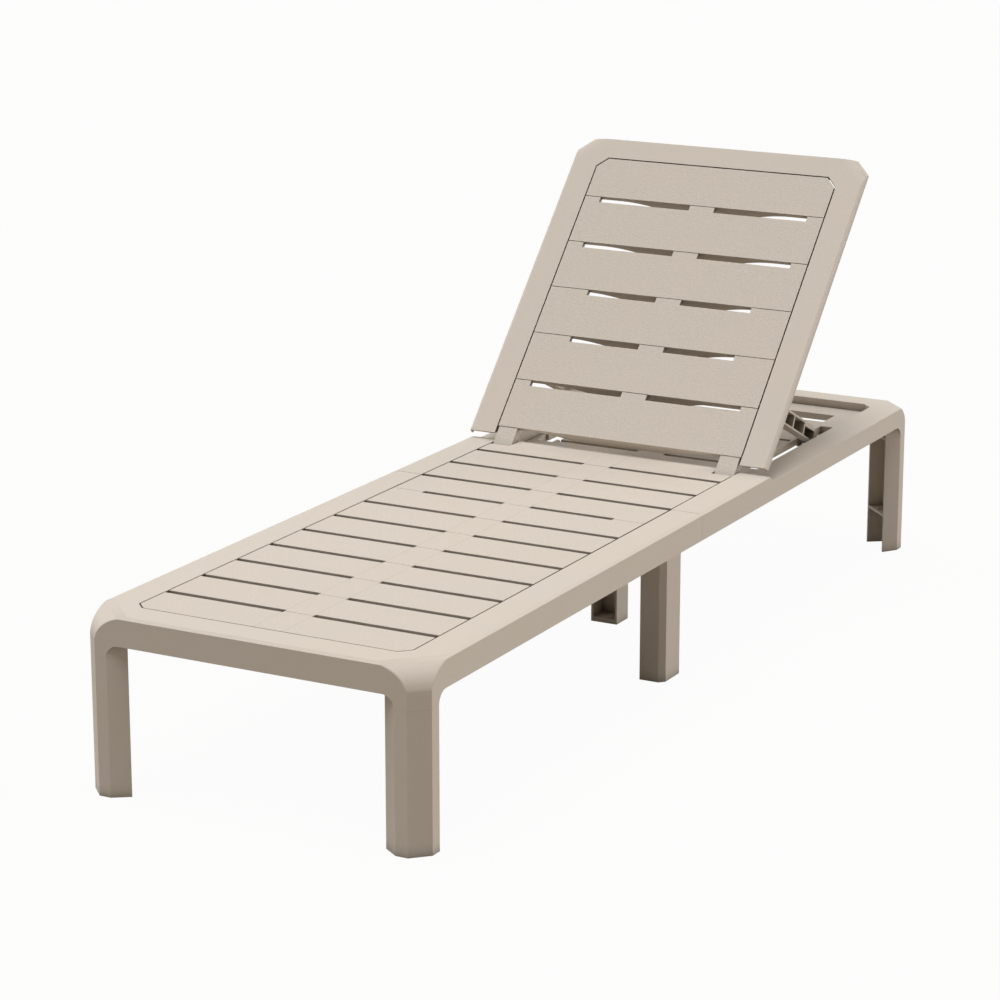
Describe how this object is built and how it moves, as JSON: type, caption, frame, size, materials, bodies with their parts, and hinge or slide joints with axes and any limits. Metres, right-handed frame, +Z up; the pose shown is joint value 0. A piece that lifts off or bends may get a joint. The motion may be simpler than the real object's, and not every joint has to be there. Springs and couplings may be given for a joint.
{
  "type": "reclining sun lounger",
  "caption": "Low slatted resin sun lounger on hollow legs, with a backrest that folds flush into the frame and is held up by a hinged prop.",
  "frame": {"origin": "centre of the bounding box on the floor, under the joint between the two frame halves", "axes": "+X across the lounger to the right as seen from the foot end, +Y from the foot end to the head end, +Z up"},
  "size_m": [0.604, 1.9, 0.789],
  "materials": {
    "resin_frame": "fine moulded grain, matte",
    "resin_slat": "woven fine grain, matte",
    "steel": "zinc plated"
  },
  "bodies": {
    "base": {"frame_foot": "resin_frame", "frame_head": "resin_frame", "deck_foot": "resin_slat", "deck_seat": "resin_slat", "deck_head": "resin_slat", "leg_foot_right": "resin_frame", "leg_foot_left": "resin_frame", "leg_head_right": "resin_frame", "leg_head_left": "resin_frame", "leg_mid_right": "resin_frame", "leg_mid_left": "resin_frame", "leg_centre": "resin_frame", "hinge_beam": "resin_frame", "rail_splice_right": "resin_frame", "rail_splice_left": "resin_frame", "leg_screws": "steel", "splice_screws": "steel", "beam_screws": "steel", "hinge_pin_right": "steel", "hinge_pin_left": "steel"},
    "backrest": {"backrest_frame": "resin_frame", "backrest_panel": "resin_slat", "prop_pin_right": "steel", "prop_pin_left": "steel"},
    "prop": {"prop": "resin_frame"}
  },
  "joints": [
    {"name": "backrest_recline", "type": "hinge", "parent": "base", "child": "backrest", "pos_m": [0, 0.266, 0.28], "axis": [1, 0, 0], "range_deg": [-47, 0]},
    {"name": "prop_swing", "type": "hinge", "parent": "backrest", "child": "prop", "pos_m": [0, 0.3993, 0.39362], "axis": [1, 0, 0], "range_deg": [0, 74]}
  ],
  "couplings": [
    {"joint": "prop_swing", "follows": "backrest_recline", "ratio": -1.5563}
  ]
}
